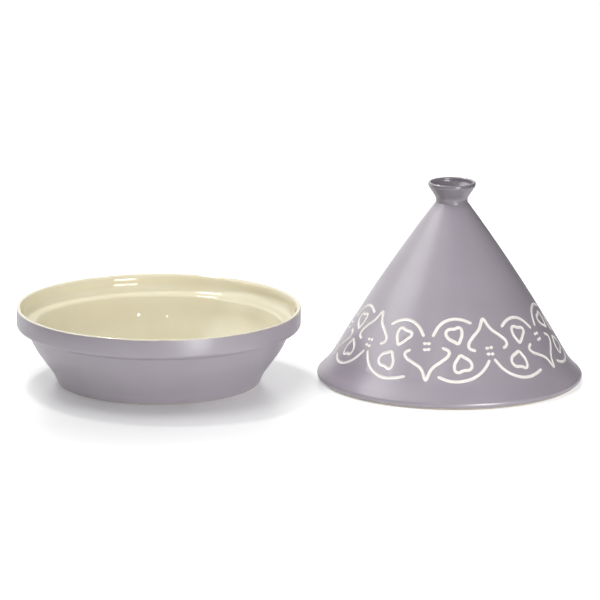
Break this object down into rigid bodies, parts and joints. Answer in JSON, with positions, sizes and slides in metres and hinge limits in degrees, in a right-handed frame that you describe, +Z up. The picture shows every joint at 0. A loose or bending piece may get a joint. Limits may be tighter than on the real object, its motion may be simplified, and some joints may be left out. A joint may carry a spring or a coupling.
{
  "type": "tagine",
  "caption": "Shallow round stoneware cooking dish with a stepped rim, and the conical lid with a hollow knob that seats inside that rim.",
  "frame": {"origin": "on the surface that both pieces stand on, under the middle of their common box", "axes": "+Z up; +X from the dish towards the lid that stands beside it; the front that the camera sees is -Y"},
  "size_m": [0.5986, 0.306, 0.2125],
  "materials": {
    "dish_glaze": "satin",
    "lid_glaze": "satin"
  },
  "bodies": {
    "root": {"base_dish": "dish_glaze", "cone_lid": "lid_glaze"}
  },
  "joints": []
}
